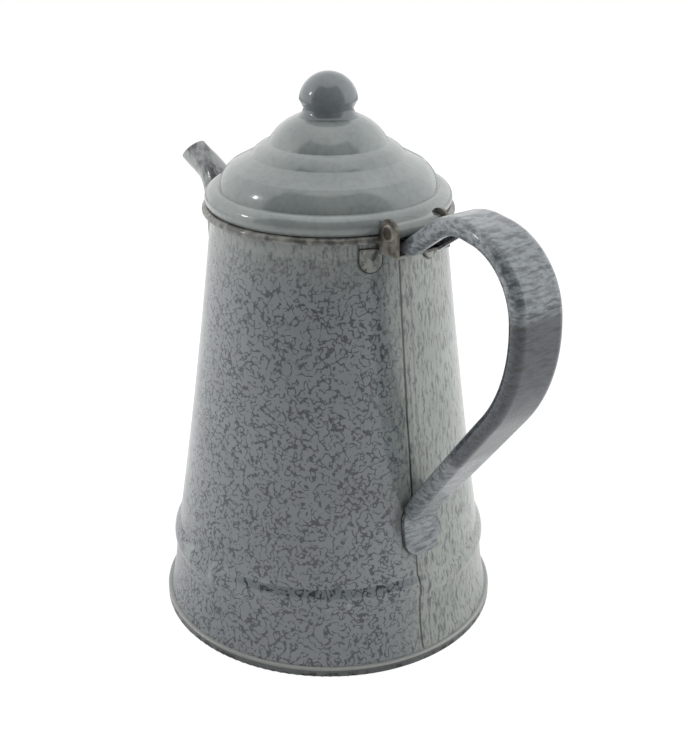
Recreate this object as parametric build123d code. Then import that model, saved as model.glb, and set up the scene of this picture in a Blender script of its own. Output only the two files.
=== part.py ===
from build123d import *
from math import atan2, cos, degrees, hypot, radians, sin, tan
import os

# Enamelled sheet-steel coffee pot with a hinged lid, in millimetres.
# The pot stands on Z = 0 with its axis on Z, the handle towards +X and the spout towards -X.

# Sheet steel and the gap between pieces that move past each other
sheet = 0.9
moving_gap = 0.35

# Foot: double seam and recessed bottom
foot_radius = 74.8
seam_ring_width = 1.5
seam_ring_height = 4.4
seam_ring_round = 0.7
pan_height = 2.6
foot_straight = 0.2

# Wall: flared foot, swaged belt, slightly hollow cone and straight neck.
# A crown is how far an arc bows out from the straight line between its ends.
flare_crown = -0.9
belt_bottom_radius = 71.15
belt_bottom_height = 29.2
belt_top_radius = 69.05
belt_top_height = 39.4
belt_crown = 1.55
cone_crown = -0.79
neck_length = 9.3
mouth_radius = 49.35

# Rim: sheet curled over a wire
rim_height = 188.3
curl_radius = 2.0
curl_end_angle = -15.0

# Side seam: a raised lap up the wall, from just over the foot ring to just inside the curl
seam_angle = -2.9
seam_width = 5.0
seam_rise = 0.45
seam_foot_gap = 0.4
seam_tuck = 0.3

# Spout: gooseneck tube that follows three straight legs with rounded bends
spout_leg_points = ((-46.0, 82.0), (-71.0, 116.0), (-86.0, 178.0), (-120.0, 192.0))
spout_bend_radii = (60.0, 26.0)
spout_base_radius = 19.0
spout_throat_radius = 8.4
spout_throat_share = 0.7
spout_taper_power = 0.8
spout_mouth_radius = 7.4
spout_sections = 8
mouth_top = (-102.0, 194.3)
mouth_lip = (-118.0, 182.0)

# Strainer: rings of holes in the wall behind the spout
strainer_height = 100.0
strainer_hole_radius = 2.0
strainer_ring_pitch = 6.0
strainer_ring_holes = (1, 6)

# Hinge: pin parallel to Y beside the rim, two ears and a rolled leaf
hinge_rise = 2.7
hinge_reach = 3.45
pin_radius = 2.0
pin_fit = 0.05
pin_head_radius = 3.4
pin_head_height = 1.3
ear_radius = 5.5
ear_thickness = 1.2
leaf_half_length = 11.9
barrel_radius = 3.1
leaf_sheet = 1.0
leaf_reach = 8.0
shelf_drop = 6.5
tongue_angle = 17.5
tongue_width = 9.3
tongue_drop = 14.8
bracket_sheet = 1.1

# Handle: channel with rolled edges. Its root passes close under the rolled leaf.
# Reaches are out from the hinge pin, rises and drops up and down from it.
root_gap = 0.7
root_slope = 35.8
shoulder_reach = 27.8
bow_reach = 64.9
bow_rise = 5.7
grip_reach = 69.2
grip_drop = 42.2
handle_end_radius = 60.0
handle_end_height = 63.0
handle_bend_radii = (22.0, 29.0, 61.0)
handle_sheet = 1.1
handle_depth = 7.6
handle_edge_radius = 3.7
handle_root_width = 18.5
handle_grip_width = 23.4
handle_foot_width = 14.0
handle_grip_shares = (0.4, 0.65)
handle_lip = 0.6
foot_tongue_bottom = 49.5
foot_tongue_top = 72.0
foot_tongue_width = 18.5
foot_tongue_round = 7.0
foot_tongue_thickness = 1.6

# Lid: stepped dome, hem that rests on the rim, and a collar in the mouth.
# Rises are up from the lid's foot, and insets in from it.
lid_foot_inset = 0.05
lid_band_inset = 4.8
lid_band_rise = 7.35
lid_band_crown = 2.86
lid_shoulder_inset = 10.1
lid_shoulder_rise = 15.65
lid_shoulder_crown = 0.77
lid_step_width = 7.4
lid_step_rise = 20.35
lid_step_crown = 0.7
lid_cap_width = 12.1
lid_cap_foot_rise = 25.35
lid_cap_crown = 1.55
lid_cap_height = 10.4
collar_clearance = 1.15
collar_depth = 8.0
collar_flange = 1.8

# Knob: pressed ball on a flared neck
knob_foot_radius = 12.8
knob_seat_margin = 0.1
knob_neck_radius = 10.4
knob_neck_rise = 3.4
knob_flare_crown = -0.59
knob_radius = 12.2
knob_edge_rise = 3.5
knob_ball_rise = 11.2
knob_rivet_radius = 2.5
knob_rivet_head_radius = 5.0
knob_rivet_head_height = 1.6
knob_rivet_depth = 6.0

# Places that follow from the sizes above
neck_radius = mouth_radius + sheet
neck_height = rim_height - neck_length
rim_centre_radius = mouth_radius + curl_radius
rim_centre_height = rim_height - curl_radius
hinge_x = rim_centre_radius + curl_radius + hinge_reach
hinge_height = rim_height + hinge_rise
shelf_bottom = rim_height - shelf_drop
shelf_top = shelf_bottom + bracket_sheet
tongue_bottom = rim_height - tongue_drop
lid_foot_radius = rim_centre_radius - lid_foot_inset
lid_foot_height = rim_height + moving_gap
collar_radius = mouth_radius - collar_clearance
lid_top_radius = knob_foot_radius + knob_seat_margin
lid_cap_foot_radius = lid_top_radius + lid_cap_width
lid_step_radius = lid_cap_foot_radius + lid_step_width
lid_top_height = lid_foot_height + lid_cap_foot_rise + lid_cap_height
knob_neck_height = lid_top_height + knob_neck_rise
knob_edge_height = knob_neck_height + knob_edge_rise
knob_top_height = knob_edge_height + knob_ball_rise


def point(radius, height):
    """A point in the XZ plane, which every turned profile is drawn in."""
    return (radius, 0, height)


def bow(start, end, crown):
    """An arc in the XZ plane whose middle stands off its chord by crown, outwards on the way up."""
    across, up = end[0] - start[0], end[2] - start[2]
    share = crown / hypot(across, up)
    middle = point((start[0] + end[0]) / 2 + up * share, (start[2] + end[2]) / 2 - across * share)
    return ThreePointArc(start, middle, end)


def turned(*edges):
    """A solid of revolution about Z from the edges of a closed profile."""
    return revolve(make_face(edges), Axis.Z)


def ring(inner, outer, bottom, top):
    """A plain ring about Z."""
    return Pos(0, 0, bottom) * extrude(Circle(outer) - Circle(inner), top - bottom)


def wall_line(out=0.0, bottom=sheet, top=rim_centre_height):
    """The outside line of the wall from the foot to the rim, moved outwards by out."""
    foot_top = point(foot_radius + out, seam_ring_height + foot_straight)
    belt_bottom = point(belt_bottom_radius + out, belt_bottom_height)
    belt_top = point(belt_top_radius + out, belt_top_height)
    neck = point(neck_radius + out, neck_height)
    return [
        Line(point(foot_radius + out, bottom), foot_top),
        bow(foot_top, belt_bottom, flare_crown),
        bow(belt_bottom, belt_top, belt_crown),
        bow(belt_top, neck, cone_crown),
        Line(neck, point(neck_radius + out, top)),
    ]


def wall_band(inner, outer, bottom=sheet, top=rim_centre_height):
    """Closed profile between two copies of the wall line."""
    inside = wall_line(inner, bottom, top)
    outside = wall_line(outer, bottom, top)
    base = Line(point(foot_radius + inner, bottom), point(foot_radius + outer, bottom))
    cap = Line(point(neck_radius + inner, top), point(neck_radius + outer, top))
    return make_face([base, *outside, cap, *inside])


def side_seam():
    """The raised lap, half sunk in the wall."""
    top = rim_centre_height - curl_radius + seam_tuck
    bottom = seam_ring_height + seam_foot_gap
    lap = revolve(wall_band(-sheet / 2, seam_rise, bottom, top), Axis.Z)
    strip = Rot(0, 0, seam_angle) * Box(
        2 * foot_radius, seam_width, rim_height, align=(Align.MIN, Align.MIN, Align.MIN)
    )
    return lap & strip


def filled_pot():
    """Everything inside the outer face of the wall and its seam, to cut what is fixed on it."""
    inside = turned(
        *wall_line(),
        Line(point(0, sheet), point(foot_radius, sheet)),
        Line(point(0, rim_centre_height), point(neck_radius, rim_centre_height)),
        Line(point(0, sheet), point(0, rim_centre_height)),
    )
    return inside + side_seam()


def polar(radius, angle):
    """A point on a circle about the middle of the rim's curl, in the XZ plane."""
    return point(
        rim_centre_radius + radius * cos(radians(angle)),
        rim_centre_height + radius * sin(radians(angle)),
    )


def rim_curl():
    """The sheet that leaves the wall, goes over the wire and ends on the outside."""
    inner = curl_radius - sheet
    middle = (180 + curl_end_angle) / 2
    return turned(
        ThreePointArc(polar(curl_radius, 180), polar(curl_radius, middle), polar(curl_radius, curl_end_angle)),
        Line(polar(curl_radius, curl_end_angle), polar(inner, curl_end_angle)),
        ThreePointArc(polar(inner, curl_end_angle), polar(inner, middle), polar(inner, 180)),
        Line(polar(inner, 180), polar(curl_radius, 180)),
    )


def strainer_holes():
    """Rings of round holes through the wall behind the spout."""
    drill = Rot(0, -90, 0) * Cylinder(
        strainer_hole_radius, foot_radius, align=(Align.CENTER, Align.CENTER, Align.MIN)
    )
    places = [
        (ring_number * strainer_ring_pitch, 360 * hole / count)
        for ring_number, count in enumerate(strainer_ring_holes)
        for hole in range(count)
    ]
    return [
        Pos(0, radius * cos(radians(angle)), strainer_height + radius * sin(radians(angle))) * drill
        for radius, angle in places
    ]


def body_shell():
    """Wall, belt, side seam and curled rim, in one sheet."""
    shell = revolve(wall_band(-sheet, 0), Axis.Z) + side_seam() + rim_curl()
    return shell - strainer_holes()


def bottom_pan():
    """Recessed bottom whose edge is folded round the foot of the wall."""
    inner = foot_radius - sheet
    outer = foot_radius + seam_ring_width
    outline = make_face(
        Polyline(
            point(0, pan_height),
            point(inner - sheet, pan_height),
            point(inner - sheet, 0),
            point(outer, 0),
            point(outer, seam_ring_height),
            point(foot_radius, seam_ring_height),
            point(foot_radius, sheet),
            point(inner, sheet),
            point(inner, pan_height + sheet),
            point(0, pan_height + sheet),
            close=True,
        )
    )
    outer_corners = outline.vertices().group_by(Axis.X)[-1]
    return revolve(fillet(outer_corners, seam_ring_round), Axis.Z)


def rim_wire():
    """Round wire inside the curl, in view below the sheet's edge."""
    wire_radius = curl_radius - sheet
    return Pos(0, 0, rim_centre_height) * Torus(rim_centre_radius, wire_radius)


def path_between(points, radii):
    """Straight legs in the XZ plane, joined by bends."""
    return FilletPolyline(*[point(x, z) for x, z in points], radius=radii)


def cross_plane(path, share):
    """The plane square to a path in the XZ plane, with its X along Y."""
    return Plane(origin=path @ share, x_dir=(0, 1, 0), z_dir=path % share)


def spout_tube(inset):
    """Tapered tube along the gooseneck, smaller all round by inset."""
    path = path_between(spout_leg_points, spout_bend_radii)
    sections = []
    for number in range(spout_sections):
        share = number / (spout_sections - 1)
        if share < spout_throat_share:
            along = (share / spout_throat_share) ** spout_taper_power
            radius = spout_base_radius + (spout_throat_radius - spout_base_radius) * along
        else:
            along = (share - spout_throat_share) / (1 - spout_throat_share)
            radius = spout_throat_radius + (spout_mouth_radius - spout_throat_radius) * along
        sections.append(cross_plane(path, share) * Circle(radius - inset))
    return sweep(sections=sections, path=path, multisection=True)


def spout():
    """Gooseneck seated on the wall, with its mouth cut at a slant."""
    middle = ((mouth_top[0] + mouth_lip[0]) / 2, (mouth_top[1] + mouth_lip[1]) / 2)
    slant = degrees(atan2(mouth_top[1] - mouth_lip[1], mouth_top[0] - mouth_lip[0]))
    cut_size = 4 * spout_base_radius
    beyond = Pos(*point(*middle)) * Rot(0, -slant, 0) * Box(
        cut_size, cut_size, cut_size, align=(Align.CENTER, Align.CENTER, Align.MIN)
    )
    return spout_tube(0) - spout_tube(sheet) - filled_pot() - beyond


def channel_section(width):
    """Channel with rolled edges, its slot towards the pot."""
    inner_radius = handle_edge_radius - handle_sheet
    outside = RectangleRounded(width, handle_depth, handle_edge_radius)
    inside = RectangleRounded(width - 2 * handle_sheet, handle_depth - 2 * handle_sheet, inner_radius)
    slot_width = width - 2 * (handle_edge_radius + handle_lip)
    slot = Pos(0, -handle_depth / 2) * Rectangle(slot_width, 3 * handle_sheet)
    return outside - inside - slot


def foot_tongue():
    """The handle's flattened end, a rounded plate that lies on the wall."""
    middle = (foot_tongue_bottom + foot_tongue_top) / 2
    outline = RectangleRounded(foot_tongue_width, foot_tongue_top - foot_tongue_bottom, foot_tongue_round)
    column = extrude(Plane.YZ * Pos(0, middle) * outline, foot_radius)
    return column & revolve(wall_band(0, foot_tongue_thickness), Axis.Z)


def handle_points():
    """Corners of the handle's line: wall, shoulder, bow, grip and its end in the wall."""
    slope = radians(root_slope)
    below_pin = (barrel_radius + root_gap + handle_depth / 2) / cos(slope)
    root_reach = mouth_radius - hinge_x
    return (
        (mouth_radius, hinge_height - below_pin + root_reach * tan(slope)),
        (hinge_x + shoulder_reach, hinge_height - below_pin + shoulder_reach * tan(slope)),
        (hinge_x + bow_reach, hinge_height + bow_rise),
        (hinge_x + grip_reach, hinge_height - grip_drop),
        (handle_end_radius, handle_end_height),
    )


def handle():
    """Hollow channel from the hinge bracket over to its foot on the wall."""
    path = path_between(handle_points(), handle_bend_radii)
    shares = (0, *handle_grip_shares, 1)
    widths = (handle_root_width, handle_grip_width, handle_grip_width, handle_foot_width)
    sections = [cross_plane(path, share) * channel_section(width) for share, width in zip(shares, widths)]
    bar = sweep(sections=sections, path=path, multisection=True)
    under_shelf = Pos(hinge_x, 0, shelf_top) * Box(
        2 * shoulder_reach, 4 * ear_radius, 2 * tongue_drop, align=(Align.CENTER, Align.CENTER, Align.MAX)
    )
    return (bar - filled_pot() - under_shelf - rim_bead()) + (foot_tongue() - side_seam())


def rim_bead():
    """The rim's curl with its wire as one solid ring."""
    return Pos(0, 0, rim_centre_height) * Torus(rim_centre_radius, curl_radius)


def hinge_axis_cylinder(radius, half_length):
    """A cylinder about the hinge axis."""
    return Pos(hinge_x, 0, hinge_height) * Rot(90, 0, 0) * Cylinder(radius, 2 * half_length)


def ear_span():
    """Y of the inner faces of the ears."""
    return leaf_half_length + moving_gap


def hinge_bracket():
    """Shelf under the handle's root, two round-topped ears and two tongues down the wall."""
    inside = ear_span()
    outside = inside + ear_thickness
    ear_outline = Pos(hinge_x, hinge_height) * Circle(ear_radius) + Pos(
        hinge_x, (shelf_bottom + hinge_height) / 2
    ) * Rectangle(2 * ear_radius, hinge_height - shelf_bottom)
    slab = extrude(Plane.XZ * ear_outline, outside, both=True)
    gap = Pos(hinge_x, 0, shelf_top) * Box(
        4 * ear_radius, 2 * inside, 4 * ear_radius, align=(Align.CENTER, Align.CENTER, Align.MIN)
    )
    shelf_to_wall = Pos(hinge_x - 2 * ear_radius, 0, shelf_bottom) * Box(
        2 * ear_radius, 2 * outside, bracket_sheet, align=(Align.CENTER, Align.CENTER, Align.MIN)
    )
    bracket = (slab - gap) + shelf_to_wall - hinge_axis_cylinder(pin_radius, 2 * outside)
    straight_bottom = tongue_bottom + tongue_width / 2
    tongue_height = shelf_top - straight_bottom
    tongue = Pos(0, straight_bottom + tongue_height / 2) * Rectangle(tongue_width, tongue_height)
    tongue += Pos(0, straight_bottom) * Circle(tongue_width / 2)
    column = extrude(Plane.YZ * tongue, foot_radius)
    on_wall = revolve(wall_band(0, bracket_sheet), Axis.Z)
    for side in (-1, 1):
        bracket += Rot(0, 0, side * tongue_angle) * (column & on_wall)
    return bracket - filled_pot() - rim_bead()


def hinge_pin():
    """Pin through both ears and the barrel, with a domed head outside each ear."""
    outside = ear_span() + ear_thickness
    pin = hinge_axis_cylinder(pin_radius, outside)
    dome_radius = (pin_head_radius**2 + pin_head_height**2) / (2 * pin_head_height)
    ball = Pos(0, 0, pin_head_height - dome_radius) * Sphere(dome_radius)
    head = ball & Pos(0, 0, pin_head_height) * Box(
        4 * pin_head_radius, 4 * pin_head_radius, 2 * pin_head_height
    )
    for side in (-1, 1):
        pin += Pos(hinge_x, side * outside, hinge_height) * Rot(-90 * side, 0, 0) * head
    return pin


def lid_line():
    """The outside line of the lid, from its foot to the top under the knob."""
    foot = point(lid_foot_radius, lid_foot_height)
    band_top = point(lid_foot_radius - lid_band_inset, lid_foot_height + lid_band_rise)
    shoulder = point(lid_foot_radius - lid_shoulder_inset, lid_foot_height + lid_shoulder_rise)
    step = point(lid_step_radius, lid_foot_height + lid_step_rise)
    cap_foot = point(lid_cap_foot_radius, lid_foot_height + lid_cap_foot_rise)
    top = point(lid_top_radius, lid_top_height)
    return [
        bow(foot, band_top, lid_band_crown),
        bow(band_top, shoulder, lid_shoulder_crown),
        Line(shoulder, step),
        bow(step, cap_foot, lid_step_crown),
        bow(cap_foot, top, lid_cap_crown),
        Line(top, point(0, lid_top_height)),
    ]


def lid_solid():
    """The lid without its hollow."""
    line = lid_line()
    base = point(0, lid_foot_height)
    return turned(*line, Line(line[-1] @ 1, base), Line(base, line[0] @ 0))


def lid_shell():
    """Stepped dome of even thickness with its edge turned in as a flat hem."""
    outline = Wire(lid_line())
    skin = outline.offset_2d(sheet, side=Side.RIGHT, closed=True)
    shell = revolve(make_face(skin), Axis.Z)
    hem = ring(collar_radius, lid_foot_radius - sheet / 2, lid_foot_height, lid_foot_height + sheet)
    return shell + hem - knob_rivet()


def lid_collar():
    """Ring that drops into the mouth, with its flange on the lid's hem."""
    top = lid_foot_height + 2 * sheet
    bottom = lid_foot_height - collar_depth
    leg = ring(collar_radius - sheet, collar_radius, bottom, top)
    flange = ring(collar_radius - sheet, collar_radius + collar_flange, lid_foot_height + sheet, top)
    return leg + flange


def lid_hinge_leaf():
    """Sheet leaf from the lid's band, rolled round the pin."""
    top = hinge_height + barrel_radius
    web = Pos(hinge_x, 0, top) * Box(
        leaf_reach, 2 * leaf_half_length, 2 * leaf_sheet, align=(Align.MAX, Align.CENTER, Align.MAX)
    )
    barrel = hinge_axis_cylinder(barrel_radius, leaf_half_length)
    bore = hinge_axis_cylinder(pin_radius + pin_fit, 2 * leaf_half_length)
    return web + barrel - bore - lid_solid()


def knob():
    """Ball on a flared neck, standing on the lid."""
    ball_centre = knob_top_height - knob_radius
    edge_radius = (knob_radius**2 - (knob_edge_height - ball_centre) ** 2) ** 0.5
    ball_middle = knob_radius * cos(radians(45))
    foot = point(knob_foot_radius, lid_top_height)
    neck = point(knob_neck_radius, knob_neck_height)
    edge = point(edge_radius, knob_edge_height)
    top = point(0, knob_top_height)
    base = point(0, lid_top_height)
    body = turned(
        bow(foot, neck, knob_flare_crown),
        Line(neck, edge),
        ThreePointArc(edge, point(ball_middle, ball_centre + ball_middle), top),
        Line(top, base),
        Line(base, foot),
    )
    return body - knob_rivet()


def knob_rivet():
    """Rivet up through the lid's top into the knob, its round head inside the lid."""
    head_top = lid_top_height - sheet
    shank = Pos(0, 0, head_top) * Cylinder(
        knob_rivet_radius, knob_rivet_depth, align=(Align.CENTER, Align.CENTER, Align.MIN)
    )
    head = Pos(0, 0, head_top) * Cylinder(
        knob_rivet_head_radius, knob_rivet_head_height, align=(Align.CENTER, Align.CENTER, Align.MAX)
    )
    return shank + head


pieces = {
    "body_shell": body_shell,
    "bottom_pan": bottom_pan,
    "rim_wire": rim_wire,
    "spout": spout,
    "handle": handle,
    "hinge_bracket": hinge_bracket,
    "hinge_pin": hinge_pin,
    "lid_shell": lid_shell,
    "lid_collar": lid_collar,
    "lid_hinge_leaf": lid_hinge_leaf,
    "knob": knob,
    "knob_rivet": knob_rivet,
}

os.makedirs("parts", exist_ok=True)
for name, make in pieces.items():
    export_step(make(), f"parts/{name}.step")
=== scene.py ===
from math import asin, atan2, cos, degrees, radians, sin

import bpy
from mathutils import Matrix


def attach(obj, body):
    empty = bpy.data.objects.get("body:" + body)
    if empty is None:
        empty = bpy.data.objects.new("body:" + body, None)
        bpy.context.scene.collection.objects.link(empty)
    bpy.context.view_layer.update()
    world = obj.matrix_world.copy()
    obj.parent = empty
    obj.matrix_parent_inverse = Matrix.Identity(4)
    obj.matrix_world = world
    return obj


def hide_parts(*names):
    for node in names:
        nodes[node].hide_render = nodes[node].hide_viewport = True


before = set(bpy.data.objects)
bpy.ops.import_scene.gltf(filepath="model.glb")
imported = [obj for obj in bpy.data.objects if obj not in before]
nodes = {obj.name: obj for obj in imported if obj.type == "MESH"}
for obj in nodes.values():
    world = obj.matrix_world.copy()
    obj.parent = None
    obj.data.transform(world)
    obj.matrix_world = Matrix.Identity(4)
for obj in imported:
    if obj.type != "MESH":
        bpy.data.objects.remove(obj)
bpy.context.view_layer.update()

scene = bpy.context.scene
scene.view_settings.view_transform = "Standard"


# The camera stands at eye height in front of the side seam and looks a little down on the pot,
# with the handle on the right and the spout behind on the left.
picture_height = 735
focal_pixels = 1261.95
pixels_right_of_axis = 21.6
camera_data = bpy.data.cameras.new("camera")
camera_data.sensor_width = 36
camera_data.lens = focal_pixels * camera_data.sensor_width / picture_height
camera_data.shift_x = pixels_right_of_axis / picture_height
camera = bpy.data.objects.new("camera", camera_data)
camera.location = (0.4145, -0.3067, 0.3398)
camera.rotation_euler = (radians(90 - 23.916), 0, radians(53.5))
scene.collection.objects.link(camera)
scene.camera = camera


# The wall is sheet steel with a glossy grey enamel that was dipped and dried, which left fine
# broken dark veins. They turn to long runs under the rim and beside the seam, where the coat flowed.
class Shade:
    """A socket in a material. Sums, products and comparisons of it add Math nodes."""

    def __init__(self, tree, socket=None):
        self.tree = tree
        self.socket = socket

    def node(self, kind, settings, inputs, output=0):
        """A node of that kind, with its settings set before the values or links of its sockets."""
        made = self.tree.nodes.new(kind)
        for name, value in settings.items():
            setattr(made, name, value)
        for key, value in inputs.items():
            if isinstance(value, Shade):
                self.tree.links.new(value.socket, made.inputs[key])
            else:
                made.inputs[key].default_value = value
        return Shade(self.tree, made.outputs[output])

    def math(self, operation, *others):
        return self.node("ShaderNodeMath", {"operation": operation}, dict(enumerate((self, *others))))

    def __add__(self, other):
        return self.math("ADD", other)

    def __radd__(self, other):
        return self.math("ADD", other)

    def __mul__(self, other):
        return self.math("MULTIPLY", other)

    def __rmul__(self, other):
        return self.math("MULTIPLY", other)

    def __sub__(self, other):
        return self.math("SUBTRACT", other)

    def __rsub__(self, other):
        return (self * -1.0) + other

    def step(self, low, high):
        """0 below low and 1 above high, eased between them."""
        settings = {"interpolation_type": "SMOOTHSTEP", "clamp": True}
        return self.node("ShaderNodeMapRange", settings, {0: self, 1: low, 2: high, 3: 0.0, 4: 1.0})

    def mix(self, below, above):
        """Colour below where this is 0, and above where it is 1."""
        picked = {0: self, 6: below, 7: above}
        return self.node("ShaderNodeMix", {"data_type": "RGBA"}, picked, output=2)


def colour(red, green, blue):
    """A colour read off the pot in 0 to 255, as the light it stands for."""
    return tuple((c / 255) ** 2.2 for c in (red, green, blue)) + (1.0,)


def new_finish(name):
    """An empty material, its surface shader and the place on the pot that patterns follow."""
    material = bpy.data.materials.new(name)
    material.use_nodes = True
    tree = material.node_tree
    surface = tree.nodes["Principled BSDF"]
    place = Shade(tree).node("ShaderNodeTexCoord", {}, {}, output=3)
    return material, surface, place


def noise(place, size, detail=2.0, rough=0.5, output=0):
    inputs = {"Vector": place, "Scale": 1 / size, "Detail": detail, "Roughness": rough}
    return place.node("ShaderNodeTexNoise", {}, inputs, output)


def stretched(place, scale):
    return place.node("ShaderNodeMapping", {}, {0: place, 3: scale})


def shifted(place, size, reach):
    """The place moved about at random, so that a pattern's lines wander."""
    wander = noise(place, size, output=1)
    centred = place.node("ShaderNodeVectorMath", {"operation": "SUBTRACT"}, {0: wander, 1: (0.5, 0.5, 0.5)})
    small = place.node("ShaderNodeVectorMath", {"operation": "SCALE"}, {0: centred, 3: reach})
    return place.node("ShaderNodeVectorMath", {"operation": "ADD"}, {0: place, 1: small})


def paint(node_name, material):
    """Every face of a CAD node gets the material."""
    mesh = nodes[node_name].data
    mesh.materials.clear()
    mesh.materials.append(material)


def axes(place):
    """The place's x, y and z."""
    return tuple(place.node("ShaderNodeSeparateXYZ", {}, {0: place}, output=k) for k in range(3))


def length_of(across, along):
    return (across * across + along * along).math("SQRT")


def within(value, half_width, soft):
    """1 where value is nearer 0 than half_width."""
    return 1 - value.math("ABSOLUTE").step(half_width, half_width + soft)


def finish(material, surface, place, shade, rough, height, depth=0.0012):
    """Joins colour, roughness and relief to the surface, under a clear glassy coat."""
    place.tree.links.new(shade.socket, surface.inputs["Base Color"])
    place.tree.links.new(rough.socket, surface.inputs["Roughness"])
    bump = place.node("ShaderNodeBump", {}, {"Height": height, "Strength": 0.14, "Distance": depth})
    place.tree.links.new(bump.socket, surface.inputs["Normal"])
    surface.inputs["IOR"].default_value = 1.6
    surface.inputs["Coat Weight"].default_value = 0.5
    surface.inputs["Coat Roughness"].default_value = 0.04
    return material


def vein_lines(place, size, gaps):
    """Fine dark wandering lines with gaps in them, and a few specks between."""
    wandering = shifted(place, size * 1.1, size * 0.7)
    level = noise(wandering, size, detail=1.0) - 0.5
    line = 1 - level.math("ABSOLUTE").step(0.022, 0.056)
    whole = noise(place, size * 0.75).step(gaps, gaps + 0.09)
    specks = noise(shifted(place, size, size * 0.5), size * 0.42, detail=1.0).step(0.63, 0.69)
    return (line * whole).math("MAXIMUM", specks * 0.8), wandering


seam_turn = radians(-2.9)
seam_lap = 0.005
seam_foot = 0.004
tongue_half_width = 0.00925
tongue_round = 0.007
tongue_low, tongue_high = 0.0495, 0.072
bracket_turn = radians(17.5)
bracket_half_width = 0.00465
bracket_round_height = 0.17815
belt_shoulder_height = 0.034
rim_low_edge = 0.1842
rim_inner_edge = 0.0504


def seam_shadows(x, y, z):
    """The dark line down the seam's edge, and a faint one where the lap ends."""
    across = y * cos(seam_turn) - x * sin(seam_turn)
    edge = within(across, 0.00022, 0.0005) * z.step(seam_foot, seam_foot + 0.002)
    return edge.math("MAXIMUM", within(across - seam_lap, 0.0002, 0.0005) * 0.35)


def tongue_shadows(y, z):
    """The dark line round the handle's foot, and the dark pool beside it."""
    middle = (tongue_low + tongue_high) / 2
    straight = (tongue_high - tongue_low) / 2 - tongue_round
    past_side = (y.math("ABSOLUTE") - (tongue_half_width - tongue_round)).math("MAXIMUM", 0.0)
    past_end = ((z - middle).math("ABSOLUTE") - straight).math("MAXIMUM", 0.0)
    outside = length_of(past_side, past_end) - tongue_round
    outline = within(outside - 0.0001, 0.0003, 0.0006)
    beside = (0 - y).step(0.004, 0.008) * z.step(0.056, 0.064)
    return outline.math("MAXIMUM", within(outside - 0.001, 0.001, 0.004) * beside * 0.8)


def bracket_shadow(x, y, z, turn):
    """The dark line round one of the bracket's two tongues."""
    across = y * cos(turn) - x * sin(turn)
    below = (z - bracket_round_height).math("MINIMUM", 0.0)
    outside = length_of(across, below) - bracket_half_width
    return within(outside - 0.0002, 0.0003, 0.0006) * z.step(0.170, 0.1705)


def wall_enamel():
    material, surface, place = new_finish("wall_enamel")
    x, y, z = axes(place)
    front = x.step(0.0, 0.01)
    veins, wandering = vein_lines(place, 0.0034, 0.36)
    runs = noise(stretched(wandering, (1, 1, 0.20)), 0.0012, detail=3).step(0.45, 0.68)
    cloud = noise(place, 0.028, detail=3)
    beside_seam = (y + (cloud - 0.5) * 0.02).step(-0.020, 0.004) * front
    under_rim = (z + (cloud - 0.5) * 0.020).step(0.156, 0.190) * 0.8
    flowing = beside_seam.math("MAXIMUM", under_rim)
    plain = veins.mix(colour(122, 128, 131), colour(56, 61, 66))
    flowed = runs.mix(colour(146, 152, 146), colour(88, 94, 94))
    coat = flowing.mix(plain, flowed)
    # Pale patches in random places along the belt's shoulder.
    pale_belt_patches = noise(place, 0.011).step(0.60, 0.70) * within(z - belt_shoulder_height, 0.004, 0.004)
    coat = (pale_belt_patches * 0.8).mix(coat, colour(150, 155, 154))
    # Painted shadow: dark lines along the seam's edges, round the handle's foot and round the bracket's
    # tongues, and a pool of shade beside the foot.
    crevice_shadow = seam_shadows(x, y, z).math("MAXIMUM", tongue_shadows(y, z))
    for turn in (-bracket_turn, bracket_turn):
        crevice_shadow = crevice_shadow.math("MAXIMUM", bracket_shadow(x, y, z, turn))
    crevice_shadow = crevice_shadow * front
    shaded = (cloud - 0.35).math("MAXIMUM", 0.0) * 0.5
    coat = shaded.mix(coat, colour(74, 80, 86))
    # The painted shadow darkens the coat here.
    coat = (crevice_shadow * 0.92).mix(coat, colour(28, 30, 31))
    outside_wall = length_of(x, y).step(rim_inner_edge, rim_inner_edge + 0.0002)
    rim = z.step(rim_low_edge, rim_low_edge + 0.0004) * outside_wall
    worn = noise(place, 0.0035, detail=4)
    metal = worn.step(0.36, 0.66).mix(colour(78, 78, 75), colour(138, 137, 132))
    rusty = noise(place, 0.007, detail=3).step(0.60, 0.70)
    metal = (rusty * 0.5).mix(metal, colour(62, 53, 46))
    coat = rim.mix(coat, metal)
    rough = (0.17 + noise(place, 0.012) * 0.12) * (1 - rim) + (0.34 + worn * 0.2) * rim
    dents = noise(stretched(place, (1, 1, 0.3)), 0.0022) * rim * 0.5
    height = noise(place, 0.006) * 0.4 + noise(place, 0.024) * 1.2 - veins * 0.08 - crevice_shadow * 0.6 + dents
    return finish(material, surface, place, coat, rough, height)


paint("body_shell", wall_enamel())


# The spout is a tapered tube with the same enamel, its runs drawn out along it. Its tip is pressed
# in from both sides to a narrow mouth with a small lip, so the solid's round end is narrowed here.
def spout_enamel():
    material, surface, place = new_finish("spout_enamel")
    drawn_out = stretched(shifted(place, 0.004, 0.003), (0.35, 1, 0.35))
    along = noise(drawn_out, 0.0030, detail=3).step(0.44, 0.66)
    cloud = noise(place, 0.014)
    coat = along.mix(colour(134, 138, 137), colour(66, 71, 75))
    coat = (cloud.step(0.45, 0.7) * 0.5).mix(coat, colour(62, 67, 72))
    height = noise(place, 0.005) + along * 0.1
    return finish(material, surface, place, coat, 0.16 + cloud * 0.12, height)


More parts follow.
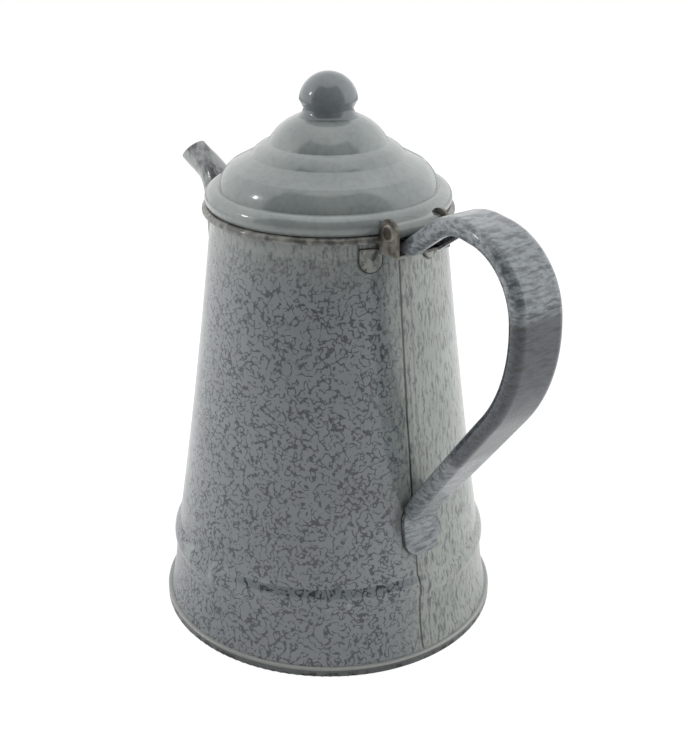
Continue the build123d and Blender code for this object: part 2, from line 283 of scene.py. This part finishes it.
tip_start = -0.104
tip_centre = (-0.11, 0, 0.188)
tip_squeeze = 0.58
tip_reach = 0.022
same_corner = 0.00001
bpy.ops.object.select_all(action="DESELECT")
spout_piece = bpy.data.objects.new("spout_drawn", nodes["spout"].data.copy())
scene.collection.objects.link(spout_piece)
bpy.context.view_layer.objects.active = spout_piece
spout_piece.select_set(True)
bpy.ops.object.mode_set(mode="EDIT")
bpy.ops.mesh.select_all(action="SELECT")
bpy.ops.mesh.remove_doubles(threshold=same_corner)
bpy.ops.mesh.select_all(action="DESELECT")
bpy.ops.object.mode_set(mode="OBJECT")
for corner in spout_piece.data.vertices:
    corner.select = corner.co.x < tip_start
bpy.ops.object.mode_set(mode="EDIT")
bpy.ops.transform.resize(
    value=(1, tip_squeeze, 1),
    center_override=tip_centre,
    use_proportional_edit=True,
    proportional_edit_falloff="SMOOTH",
    proportional_size=tip_reach,
)
bpy.ops.object.mode_set(mode="OBJECT")
spout_piece.data.materials.clear()
spout_piece.data.materials.append(spout_enamel())
bpy.ops.object.shade_smooth_by_angle(angle=radians(40))
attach(spout_piece, "pot")
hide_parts("spout")


# The handle is a bent channel with dark blotches and cross streaks. Its grip is darker,
# and it is paler towards the shoulder and the foot.
def handle_enamel():
    material, surface, place = new_finish("handle_enamel")
    x, _, z = axes(place)
    big = noise(place, 0.020, detail=3)
    grip = within(z - 0.142, 0.014, 0.034) * x.step(0.085, 0.105)
    dark = (grip * 0.95 + (big - 0.5) * 1.3).step(0.15, 0.60)
    across = stretched(shifted(place, 0.005, 0.002), (0.9, 0.30, 1.6))
    streak = noise(across, 0.0020, detail=4).step(0.40, 0.66)
    small = noise(place, 0.0018, detail=2).step(0.45, 0.6)
    coat = streak.mix(colour(136, 142, 145), colour(86, 92, 97))
    night = streak.mix(colour(60, 66, 74), colour(26, 30, 36))
    coat = dark.mix(coat, night)
    coat = (small * 0.22).mix(coat, colour(60, 66, 70))
    height = noise(place, 0.005) * 0.5 + noise(place, 0.016) - streak * 0.12
    return finish(material, surface, place, coat, 0.15 + big * 0.14, height)


paint("handle", handle_enamel())


# The lid is one pressed sheet with its collar under it, dipped in a thicker, paler coat with hardly
# any veins. The hinge leaf and the knob have the same coat, a little darker.
def smooth_enamel(name, light, dark):
    material, surface, place = new_finish(name)
    cloud = noise(place, 0.018, detail=3)
    grain = place.node("ShaderNodeTexVoronoi", {"feature": "F1"}, {"Vector": place, "Scale": 1 / 0.010})
    specks = (1 - grain.step(0.03, 0.06)) * noise(place, 0.02).step(0.55, 0.60)
    fine = noise(place, 0.0025, detail=3).step(0.45, 0.65) * 0.16
    shade = ((cloud - 0.35) * 1.0 + fine + specks * 0.8).math("MINIMUM", 1.0).math("MAXIMUM", 0.0)
    height = noise(place, 0.018) + noise(place, 0.005) * 0.25
    return finish(material, surface, place, shade.mix(light, dark), 0.12 + cloud * 0.12, height)


lid_enamel = smooth_enamel("lid_enamel", colour(136, 143, 141), colour(90, 98, 100))
paint("lid_shell", lid_enamel)
paint("lid_collar", lid_enamel)
paint("lid_hinge_leaf", smooth_enamel("leaf_enamel", colour(118, 124, 121), colour(70, 76, 76)))
paint("knob", smooth_enamel("knob_enamel", colour(112, 118, 120), colour(80, 86, 89)))


# The bracket, pin and rivet are tinned steel, dulled to a grey brown and rusty in the corners. The
# bracket's tongues lie under the wall's enamel, which broke off in places.
def worn_steel(name, light, dark, rust, metal=0.7):
    material, surface, place = new_finish(name)
    cloud = noise(place, 0.004, detail=4)
    stain = noise(place, 0.006, detail=3).step(0.56, 0.68)
    coat = (stain * 0.8).mix(cloud.mix(dark, light), rust)
    place.tree.links.new((metal - stain * 0.5).socket, surface.inputs["Metallic"])
    made = finish(material, surface, place, coat, 0.34 + cloud * 0.25, cloud * 1.5, depth=0.0006)
    surface.inputs["Coat Weight"].default_value = 0.0
    return made


def bracket_finish():
    material, surface, place = new_finish("bracket_finish")
    z = axes(place)[2]
    cloud = noise(place, 0.0035, detail=4)
    steel = cloud.step(0.3, 0.7).mix(colour(82, 79, 74), colour(140, 136, 127))
    broken = noise(place, 0.0040, detail=3).step(0.53, 0.60)
    enamel = cloud.step(0.35, 0.65).mix(colour(112, 117, 112), colour(150, 155, 148))
    low = 1 - z.step(0.1815, 0.1830)
    coated = low * (1 - broken * 0.7)
    coat = coated.mix((broken * low).mix(steel, colour(64, 52, 42)), enamel)
    place.tree.links.new(((1 - coated) * 0.6).socket, surface.inputs["Metallic"])
    rough = 0.36 - coated * 0.16 + cloud * 0.15
    made = finish(material, surface, place, coat, rough, cloud * 1.5, depth=0.0006)
    surface.inputs["Coat Weight"].default_value = 0.1
    return made


hinge_x, hinge_height = 0.0568, 0.191


def pin_finish():
    material, surface, place = new_finish("pin_finish")
    x, _, z = axes(place)
    out = length_of(x - hinge_x, z - hinge_height)
    brim = out.step(0.0022, 0.0030)
    cloud = noise(place, 0.002, detail=3)
    coat = brim.mix(colour(66, 61, 54), colour(156, 151, 140))
    coat = (cloud.step(0.4, 0.7) * 0.4).mix(coat, colour(58, 50, 42))
    surface.inputs["Metallic"].default_value = 0.5
    made = finish(material, surface, place, coat, 0.38 + cloud * 0.2, cloud + brim * 2.0, depth=0.0008)
    surface.inputs["Coat Weight"].default_value = 0.0
    return made


paint("hinge_bracket", bracket_finish())
paint("hinge_pin", pin_finish())
paint("knob_rivet", worn_steel("rivet_steel", colour(130, 126, 118), colour(76, 73, 68), colour(70, 56, 46)))
paint("rim_wire", worn_steel("rim_steel", colour(170, 167, 160), colour(70, 69, 66), colour(66, 54, 44)))


# The foot ring is the folded edge of the bottom. Its outer corner lost its enamel in small chips
# down to dark steel, and a pale line along the fold's top edge is a painted highlight.
def foot_enamel():
    material, surface, place = new_finish("foot_enamel")
    z = axes(place)[2]
    chips = noise(place, 0.0030, detail=4).step(0.50, 0.56) * (1 - z.step(0.0018, 0.0034))
    cloud = noise(place, 0.008)
    coat = cloud.mix(colour(92, 97, 98), colour(62, 67, 69))
    # Painted highlight: a pale line along the fold's top edge.
    coat = (within(z - 0.0041, 0.0004, 0.0005) * 0.8).mix(coat, colour(158, 160, 156))
    coat = chips.mix(coat, colour(44, 42, 41))
    return finish(material, surface, place, coat, 0.24 + chips * 0.4, cloud - chips * 0.7, depth=0.0006)


paint("bottom_pan", foot_enamel())


# A pale table under the pot, a white room round it, soft lamps left, right and above, and a small
# window for a highlight. The dark curtain stands behind the camera, as the dark side of a light tent
# does, and shows only in the gloss.
def white_for_camera(tree, plain_strength):
    """White to the camera and in gloss, and a plain strength for the light that it gives."""
    start = Shade(tree)
    seen = start.node("ShaderNodeLightPath", {}, {}, output=0)
    glossy = start.node("ShaderNodeLightPath", {}, {}, output=3)
    through = start.node("ShaderNodeLightPath", {}, {}, output=6)
    return seen.math("MAXIMUM", glossy).math("MAXIMUM", through) * (1 - plain_strength) + plain_strength


world = bpy.data.worlds.new("room")
world.use_nodes = True
scene.world = world
background = world.node_tree.nodes["Background"]
background.inputs["Color"].default_value = (1, 1, 1, 1)
world.node_tree.links.new(white_for_camera(world.node_tree, 0.42).socket, background.inputs["Strength"])

bpy.ops.object.select_all(action="DESELECT")
bpy.ops.mesh.primitive_plane_add(size=6, location=(0, 0, 0))
table = bpy.context.object
table.name = "table"
table_glow = 1.14
table_glow_share = 0.82
table_finish = bpy.data.materials.new("table_white")
table_finish.use_nodes = True
tree = table_finish.node_tree
start = Shade(tree)
seen = start.node("ShaderNodeLightPath", {}, {}, output=0)
pale = start.node("ShaderNodeBsdfDiffuse", {}, {"Color": (0.86, 0.86, 0.86, 1)})
glow = start.node("ShaderNodeEmission", {}, {"Color": (1, 1, 1, 1), "Strength": table_glow})
mixed = start.node("ShaderNodeMixShader", {}, {0: seen * table_glow_share, 1: pale, 2: glow})
tree.links.new(mixed.socket, tree.nodes["Material Output"].inputs["Surface"])
table.data.materials.append(table_finish)

curtain_reach = 1.0
curtain_spread = 66
curtain_middle = -36.5
curtain_low, curtain_high = 4, 66
bpy.ops.object.select_all(action="DESELECT")
bpy.ops.mesh.primitive_uv_sphere_add(segments=72, ring_count=60, radius=curtain_reach, location=(0, 0, 0.1))
curtain = bpy.context.object
curtain.name = "curtain"
bpy.ops.object.mode_set(mode="EDIT")
bpy.ops.mesh.select_mode(type="FACE")
bpy.ops.mesh.select_all(action="DESELECT")
bpy.ops.object.mode_set(mode="OBJECT")
for face in curtain.data.polygons:
    lift = degrees(asin(max(-1, min(1, face.center.z / curtain_reach))))
    turn = (degrees(atan2(face.center.y, face.center.x)) - curtain_middle + 180) % 360 - 180
    face.select = abs(turn) > curtain_spread or not curtain_low < lift < curtain_high
bpy.ops.object.mode_set(mode="EDIT")
bpy.ops.mesh.delete(type="FACE")
bpy.ops.object.mode_set(mode="OBJECT")
cloth = bpy.data.materials.new("curtain_dark")
cloth.use_nodes = True
cloth.node_tree.nodes["Principled BSDF"].inputs["Base Color"].default_value = (0.03, 0.03, 0.035, 1)
cloth.node_tree.nodes["Principled BSDF"].inputs["Roughness"].default_value = 0.9
curtain.data.materials.append(cloth)
for ray in ("visible_camera", "visible_diffuse", "visible_shadow"):
    setattr(curtain, ray, False)


def lamp(name, place, size, power, target=(0, 0, 0.12)):
    data = bpy.data.lights.new(name, "AREA")
    data.shape = "RECTANGLE"
    data.size, data.size_y = size
    data.energy = power
    made = bpy.data.objects.new(name, data)
    made.location = place
    away = made.location - type(made.location)(target)
    made.rotation_euler = away.to_track_quat("Z", "Y").to_euler()
    scene.collection.objects.link(made)
    return made


for name, spot, size, power in (
    ("lamp_left", (-1.0, -0.75, 0.65), (0.9, 0.9), 9),
    ("lamp_right", (0.75, 0.95, 0.65), (0.9, 0.9), 10),
    ("lamp_above", (-0.2, 0.2, 1.2), (0.9, 0.9), 5),
):
    lamp(name, spot, size, power).visible_glossy = False
lamp("window", (-0.45, -0.75, 0.62), (0.07, 0.10), 0.5)
